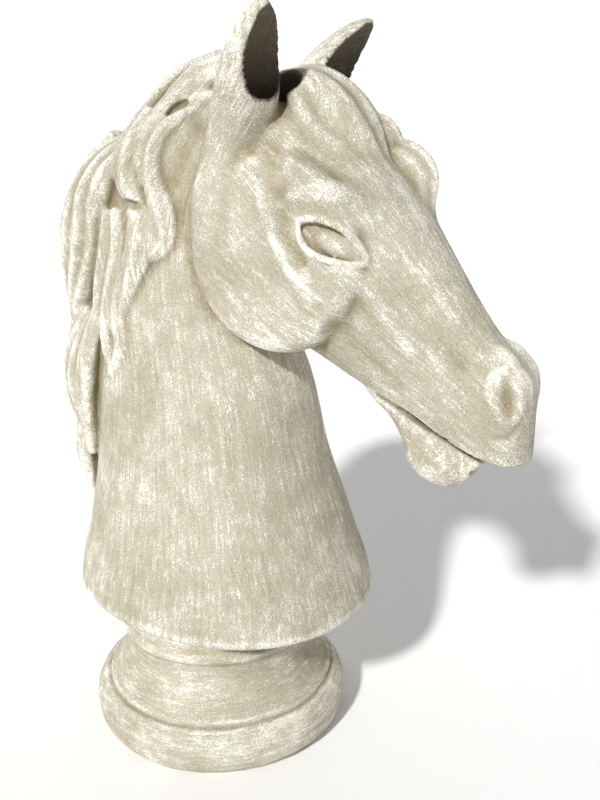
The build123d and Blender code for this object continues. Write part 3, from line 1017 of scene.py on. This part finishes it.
# ---- materials
class Nodes:
    """A material's node tree, built in short calls."""

    def __init__(self, name):
        self.material = bpy.data.materials.new(name)
        self.material.use_nodes = True
        self.tree = self.material.node_tree
        self.shader = self.tree.nodes["Principled BSDF"]

    def wire(self, value, socket):
        if isinstance(value, bpy.types.NodeSocket):
            self.tree.links.new(value, socket)
        else:
            socket.default_value = value

    def attribute(self, name, output="Fac"):
        node = self.tree.nodes.new("ShaderNodeAttribute")
        node.attribute_name = name
        return node.outputs[output]

    def place(self):
        return self.tree.nodes.new("ShaderNodeTexCoord").outputs["Object"]

    def node(self, kind, inputs, output=0, **settings):
        """One output of a new node, with its settings made and its inputs set or wired."""
        node = self.tree.nodes.new("ShaderNode" + kind)
        for key, value in settings.items():
            setattr(node, key, value)
        for key, value in inputs.items():
            self.wire(value, node.inputs[key])
        return node.outputs[output]

    def stretch(self, vector, scale, shift=(0, 0, 0)):
        return self.node("Mapping", {"Vector": vector, "Scale": scale, "Location": shift})

    def noise(self, vector, scale, detail=3.0, rough=0.55, bend=0.0):
        inputs = {"Vector": vector, "Scale": scale, "Detail": detail, "Roughness": rough, "Distortion": bend}
        return self.node("TexNoise", inputs, "Fac")

    def cells(self, vector, scale):
        return self.node("TexVoronoi", {"Vector": vector, "Scale": scale}, "Distance")

    def math(self, operation, a, b, c=0.0):
        return self.node("Math", {0: a, 1: b, 2: c}, operation=operation)

    def ramp(self, value, low, high, to_low=0.0, to_high=1.0):
        inputs = {"Value": value, "From Min": low, "From Max": high, "To Min": to_low, "To Max": to_high}
        return self.node("MapRange", inputs, interpolation_type="SMOOTHSTEP")

    def mix(self, share, a, b):
        """Colours mixed by a share."""
        return self.node("Mix", {"Factor": share, "A": a, "B": b}, "Result", data_type="RGBA")

    def blend_values(self, share, a, b):
        """Numbers mixed by a share."""
        return self.node("Mix", {"Factor": share, "A": a, "B": b}, "Result")

    def bump(self, height, distance, strength):
        return self.node("Bump", {"Height": height, "Distance": distance, "Strength": strength})

    def finish(self, colour, roughness, normal=None, metallic=0.0):
        """Wires the shader and gives the material."""
        self.wire(colour, self.shader.inputs["Base Color"])
        self.wire(roughness, self.shader.inputs["Roughness"])
        self.shader.inputs["Metallic"].default_value = metallic
        if normal is not None:
            self.wire(normal, self.shader.inputs["Normal"])
        return self.material


def shade(red, green, blue):
    """A colour given as 0 to 255 on a screen, as the shader wants it."""
    levels = (((c / 255 + 0.055) / 1.055) ** 2.4 for c in (red, green, blue))
    return (*levels, 1)


def cast_stone():
    """Greige cast stone, dry-brushed with whitewash along the flow of each surface, with painted shade in
    its creases, ear cups, poll pockets and lip line.
    """
    n = Nodes("whitewashed_stone")
    place = n.place()
    lift = n.attribute("raised")
    on_face = n.attribute("on_face")
    body, face = n.attribute("stroke_body", "Vector"), n.attribute("stroke_face", "Vector")

    def strokes(along, across, detail, rough, shift):
        pair = [
            n.noise(n.stretch(v, (along, across, along), shift), 1.0, detail, rough, 0.35)
            for v in (body, face)
        ]
        return n.blend_values(on_face, pair[0], pair[1])

    # dry brush: short scratches, longer broken streaks, and a stipple where the bristles ran dry
    scratch = strokes(110, 800, 3.0, 0.75, (0, 0, 0))
    streak = strokes(20, 190, 4.0, 0.7, (3.1, 1.7, 0))
    patches = n.noise(place, 10.0, 4.0, 0.62, 0.5)
    clouds = n.noise(n.stretch(place, (1, 1, 1), (4, 7, 2)), 34.0, 4.0, 0.68)
    stipple = n.noise(place, 560.0, 3.0, 0.8)
    grit = n.noise(place, 800.0, 2.0, 0.75)
    load = n.math("MULTIPLY", scratch, 0.75)
    for part, share in ((streak, 0.8), (stipple, 1.45), (patches, 0.55), (clouds, 0.55), (lift, 0.18)):
        load = n.math("MULTIPLY_ADD", part, share, load)
    haze = n.ramp(load, 1.72, 2.24)
    wash = n.ramp(load, 2.08, 2.30)
    # bare stone in random patches, with painted shade making it warmer and darker in the creases and hollows
    bare_and_crease_shade_load = n.math("MULTIPLY", lift, -0.7)
    for part, share in ((clouds, 0.8), (stipple, 0.5), (patches, -0.3)):
        bare_and_crease_shade_load = n.math("MULTIPLY_ADD", part, share, bare_and_crease_shade_load)
    bare_and_crease_shade = n.ramp(bare_and_crease_shade_load, 0.45, 1.05)
    ground = n.mix(n.ramp(patches, 0.35, 0.68), shade(166, 159, 138), shade(185, 179, 159))
    ground = n.mix(n.math("MULTIPLY", bare_and_crease_shade, 0.8), ground, shade(144, 132, 102))
    ground = n.mix(n.ramp(grit, 0.50, 0.66, 0.0, 0.7), ground, shade(104, 96, 74))
    ground = n.mix(n.math("MULTIPLY", haze, 0.6), ground, shade(213, 207, 188))
    colour = n.mix(n.math("MULTIPLY", wash, 0.92), ground, shade(250, 247, 236))
    # painted shade: the ear cups, poll pockets and lip line turn dark brown, bare of whitewash
    hollow_shade = n.ramp(n.attribute("painted_hollow_shade"), 0.0, 1.0, 0.0, 0.9)
    colour = n.mix(hollow_shade, colour, n.mix(stipple, shade(66, 58, 46), shade(112, 100, 80)))
    # casting pinholes
    holes = n.cells(place, 46.0)
    rare = n.ramp(n.noise(place, 19.0, 1.0), 0.56, 0.64)
    pin = n.math("MULTIPLY", n.ramp(holes, 0.06, 0.035), rare)
    colour = n.mix(n.math("MULTIPLY", pin, 0.8), colour, shade(112, 98, 72))
    relief = n.math("ADD", n.math("MULTIPLY", scratch, 0.5), n.math("MULTIPLY", stipple, 0.5))
    relief = n.math("ADD", relief, n.math("MULTIPLY", clouds, 0.8))
    relief = n.math("ADD", relief, n.math("MULTIPLY", wash, 0.25))
    relief = n.math("SUBTRACT", relief, n.math("MULTIPLY", pin, 1.5))
    normal = n.bump(relief, 0.0016, 0.75)
    rough = n.ramp(wash, 0.0, 1.0, 0.93, 0.8)
    material = n.finish(colour, rough, normal)
    n.shader.inputs["Specular IOR Level"].default_value = 0.25
    return material


def grainy(name, light, dark, scale, roughness, depth, metallic):
    """A plain mottled material with a matching grain."""
    n = Nodes(name)
    place = n.place()
    grain = n.noise(place, scale, 4.0, 0.6)
    cloud = n.noise(place, scale / 12, 3.0, 0.5)
    share = n.math("MULTIPLY_ADD", grain, 0.6, n.math("MULTIPLY", cloud, 0.4))
    share = n.ramp(share, 0.35, 0.65)
    rough = n.ramp(cloud, 0.3, 0.7, roughness - 0.08, roughness + 0.08)
    return n.finish(n.mix(share, dark, light), rough, n.bump(grain, depth, 0.6), metallic)


stone = cast_stone()
whole, bust, ears, forelock, mane, hollows = make_fields(GRID)
relief = relief_field(whole)
regions = {"ears": region(ears, bust), "forelock": region(forelock, bust), "mane": region(mane, bust)}
# where two pieces meet, the nearer one wins
for name, field, one, other in (
    ("ears", ears, forelock, mane),
    ("forelock", forelock, ears, mane),
    ("mane", mane, ears, forelock),
):
    regions[name] = np.maximum(regions[name], (field.d - np.minimum(one.d, other.d)) / 2)
    regions[name] = soften(regions[name], 3)


def brushed(name, points, quads):
    """A sculpted piece with its brushwork."""
    obj = mesh_object(name, points, quads)
    lift = np.clip(relief.at(points), -1.5, 1.0)
    keep_paint(obj, *brush_lines(points), lift, painted_hollow_shade(hollows, points))
    return obj


def one_side(field, side):
    """The part of a field on the right, -1, or the left, 1."""
    rows = field.axes[1] * side > 0
    return Field([field.axes[0], field.axes[1][rows], field.axes[2]], field.step, field.d[:, rows])


def cast(obj, node):
    """Makes a piece of cast stone ride the chess piece, in place of its CAD node."""
    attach(obj, "piece")
    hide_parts(node)
    obj.data.materials.append(stone)


apart = np.minimum(np.minimum(regions["ears"], regions["forelock"]), regions["mane"])
points, quads = sculpted_surface(shell_field(whole, bust, apart))
for name, node, keep_left in (
    ("bust_right", "bust_shell_right", False),
    ("bust_left", "bust_shell_left", True),
):
    obj = brushed(name, points, quads)
    halved(obj, keep_left)
    cast(obj, node)
for name, node, key, side in (
    ("ear_right", "right_ear", "ears", -1),
    ("ear_left", "left_ear", "ears", 1),
    ("forelock_cast", "forelock", "forelock", 0),
    ("mane_cast", "mane", "mane", 0),
):
    field = sunk(whole, regions[key])
    if side:
        field = one_side(field, side)
    points, quads = sculpted_surface(field)
    cast(brushed(name, points, quads), node)


# ---- pedestal
def arc(start, end, sagitta, count):
    """Points of a circular arc bulging to the left of its chord by the sagitta."""
    (r0, z0), (r1, z1) = start, end
    t = np.linspace(0, 1, count)
    bulge = 4 * sagitta * t * (1 - t)
    length = np.hypot(r1 - r0, z1 - z0)
    return np.column_stack([
        r0 + (r1 - r0) * t + (z1 - z0) / length * bulge,
        z0 + (z1 - z0) * t - (r1 - r0) / length * bulge,
    ])


def pedestal_profile():
    """Radius and height round the wall: foot, torus, ledge, riser, scotia, bead, top, inside."""
    parts = [
        [(149.0, 0.0), (153, 0.0), (157.5, 0.6)],
        arc((161, 3), (175, 35), 5.0, 12)[:-1],
        arc((175, 35), (165.5, 64), 4.2, 12)[:-1],
        [(164, 66), (161.5, 67), (158.5, 67.2), (157, 68.2), (156.6, 70.5)],
        [(156.4, 73), (155.6, 75.2), (153.6, 76.4)],
        arc((151, 78.5), (131.5, 141), -8.5, 20)[:-1],
        arc((131.8, 142), (131.5, 160), 5.2, 11)[:-1],
        [(130.6, 162), (129.6, 168), (129, 176)],
        [(66.0, 176), (66.0, 188), (11, 188), (11, 154), (96, 154)],
        [(122, 70), (122, 16.2), (148.6, 16.2), (148.6, 0.0)],
    ]
    return np.vstack([np.array(part, float) for part in parts])


def refined(profile, spacing):
    """The closed profile with no span longer than the spacing."""
    out = []
    for a, b in zip(profile, np.roll(profile, -1, axis=0)):
        count = max(int(np.ceil(np.hypot(*(b - a)) / spacing)), 1)
        out.extend(a + (b - a) * k / count for k in range(count))
    return np.array(out)


def wander(angle, height, seed):
    """A smooth uneven value round the pedestal, between about -1 and 1."""
    rng = np.random.default_rng(seed)
    waves = 5
    total = 0
    for _ in range(waves):
        turns, climb = rng.integers(2, 9), rng.uniform(-0.05, 0.05)
        total = total + np.sin(turns * angle + climb * height + rng.uniform(0, 2 * pi))
    return total / np.sqrt(waves) / 1.4


PEDESTAL_GRID = 3.0  # longest span of its profile, in millimetres
profile = refined(pedestal_profile(), PEDESTAL_GRID)
segments = 320
turn = np.linspace(0, 2 * pi, segments, endpoint=False)
radius = np.repeat(profile[:, 0][:, None], segments, axis=1)
height = np.repeat(profile[:, 1][:, None], segments, axis=1)
angle = np.repeat(turn[None, :], len(profile), axis=0)
# hand-cast: the outer wall wavers by a millimetre, and the foot's lowest edge is chipped
shown = np.clip((radius - 128) / 4, 0, 1) * np.clip((height - 1) / 6, 0, 1)
uneven = 0.9 * wander(angle, height, 3) - 0.9 + 0.5 * wander(4 * angle, 3 * height, 5)
radius = radius + shown * uneven
height = height + shown * 0.5 * wander(angle, height, 8)
chipped = np.clip(1 - height / 9, 0, 1) * (radius > 149)
radius = radius - chipped * 1.6 * np.clip(wander(5 * angle, height, 12), 0, 1)
turned = np.column_stack([
    (radius * np.cos(angle)).ravel(), (radius * np.sin(angle)).ravel(), height.ravel()
])
rows = np.arange(len(profile))[:, None] * segments
columns = np.arange(segments)[None, :]
above = np.roll(rows, -1, axis=0)
beside = np.roll(columns, -1, axis=1)
corners = (rows + columns, rows + beside, above + beside, above + columns)
wall = np.stack(corners, axis=-1).reshape(-1, 4)
pedestal = mesh_object("pedestal_cast", turned, wall)
# its brush strokes run round it: metres round, along the profile and up
along_profile = np.cumsum(np.hypot(*np.diff(np.vstack([profile, profile[:1]]), axis=0).T))
strip = np.column_stack([
    angle.ravel() * 0.165, np.repeat(along_profile, segments) / 1000, height.ravel() / 1000
])
none = np.zeros(len(turned))
keep_paint(pedestal, strip, strip, none, raised(turned, wall, PEDESTAL_GRID), none)
cast(pedestal, "pedestal")

# ---- finishes of the CAD's own nodes
# Material: light and dark colour, grains per metre, roughness, depth of the grain, metallic; its nodes
FINISHES = {
    "moulded_plastic": ((64, 62, 58), (46, 45, 43), 900.0, 0.6, 0.0004, 0.0, ["base_plate"]),
    "collar_plastic": ((150, 148, 140), (128, 126, 119), 700.0, 0.45, 0.0002, 0.0, ["stopper_collar"]),
    "black_rubber": ((38, 37, 36), (24, 24, 24), 500.0, 0.7, 0.0003, 0.0, ["ballast_stopper"]),
    "dry_sand": ((205, 184, 142), (150, 127, 88), 1400.0, 0.95, 0.0012, 0.0, ["sand_ballast"]),
    "lime_mortar": ((186, 180, 165), (150, 143, 127), 900.0, 0.92, 0.0010, 0.0, ["mortar_bed"]),
    "stainless_steel": ((190, 190, 188), (150, 150, 150), 1200.0, 0.3, 0.0001, 1.0, ["plate_screws"]),
    "brass": ((196, 160, 92), (150, 116, 60), 1100.0, 0.34, 0.0001, 1.0, ["screw_inserts"]),
    "dowel_steel": (
        (170, 170, 168), (120, 118, 114), 1100.0, 0.4, 0.0002, 1.0,
        ["seam_dowels", "ear_pins", "mane_pins"],
    ),
    "galvanised_zinc": (
        (176, 180, 182), (128, 133, 137), 160.0, 0.42, 0.0002, 1.0,
        ["tie_rod", "lower_nut", "upper_nut", "lower_washer", "clamp_plate"],
    ),
}
for finish, (light, dark, scale, roughness, depth, metallic, names) in FINISHES.items():
    material = grainy(finish, shade(*light), shade(*dark), scale, roughness, depth, metallic)
    for name in names:
        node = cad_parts[name]
        node.data.materials.clear()
        node.data.materials.append(material)

# ---- floor, light and camera
VIEW = radians(37)
AIM_RIGHT, AIM_UP = radians(5.7), radians(-17.3)
CAMERA_BACK, CAMERA_HEIGHT = 1.132, 0.808  # from the piece's axis, in metres
right = Vector((cos(VIEW), sin(VIEW), 0))
away = Vector((-sin(VIEW), cos(VIEW), 0))
level = away * cos(AIM_RIGHT) + right * sin(AIM_RIGHT)
forward = level * cos(AIM_UP) + Vector((0, 0, sin(AIM_UP)))
# A paper sweep: level under the piece, curving up behind it
SWEEP_START, SWEEP_BEND, HALF_SWEEP = 2.4, 1.6, 9
sweep = [(-5.0, 0.0), (0.0, 0.0), (SWEEP_START, 0.0)]
for t in np.radians(np.arange(9, 91, 9)):
    sweep.append((SWEEP_START + SWEEP_BEND * sin(t), SWEEP_BEND * (1 - cos(t))))
sweep.append((SWEEP_START + SWEEP_BEND, 5.0))
corners = [
    away * far + right * side + Vector((0, 0, high))
    for far, high in sweep for side in (-HALF_SWEEP, HALF_SWEEP)
]
floor_mesh = bpy.data.meshes.new("floor")
strips = [(2 * i, 2 * i + 1, 2 * i + 3, 2 * i + 2) for i in range(len(sweep) - 1)]
floor_mesh.from_pydata([tuple(c) for c in corners], [], strips)
floor_mesh.shade_smooth()
floor = in_scene("floor", floor_mesh)
paper = Nodes("pale_floor")
tone = paper.noise(paper.place(), 1.3, 2.0, 0.5)
tone = paper.mix(tone, shade(246, 246, 246), shade(250, 250, 250))
floor_mesh.materials.append(paper.finish(tone, 0.9))
floor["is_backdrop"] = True

lens = bpy.data.cameras.new("camera")
lens.lens = 40.5
lens.sensor_fit = "VERTICAL"
lens.sensor_height = 36
lens.clip_start = 0.05
camera = in_scene("camera", lens)
camera.location = -CAMERA_BACK * away + Vector((0, 0, CAMERA_HEIGHT))
camera.rotation_euler = forward.to_track_quat("-Z", "Y").to_euler()
bpy.context.scene.camera = camera


def sun(name, swing, elevation, strength, spread, colour):
    """A far light; swing is its turn to the left of the line from the object to the camera."""
    data = bpy.data.lights.new(name, "SUN")
    data.energy = strength
    data.angle = radians(spread)
    data.color = colour
    travel = away * cos(radians(swing)) + right * sin(radians(swing))
    travel = travel * cos(radians(elevation)) - Vector((0, 0, sin(radians(elevation))))
    in_scene(name, data).rotation_euler = travel.to_track_quat("-Z", "Y").to_euler()


sun("key", 32, 34, 3.55, 4.0, (1.0, 0.985, 0.965))
bpy.context.scene.view_settings.view_transform = "Standard"
world = bpy.data.worlds.new("studio")
bpy.context.scene.world = world
world.use_nodes = True
sky = world.node_tree.nodes["Background"]
sky.inputs["Color"].default_value = (0.96, 0.98, 1.0, 1)
sky.inputs["Strength"].default_value = 0.26

boxes = {"cad": cad_box, "visual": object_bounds()}
{key: [list(map(float, corner)) for corner in value] for key, value in boxes.items()}
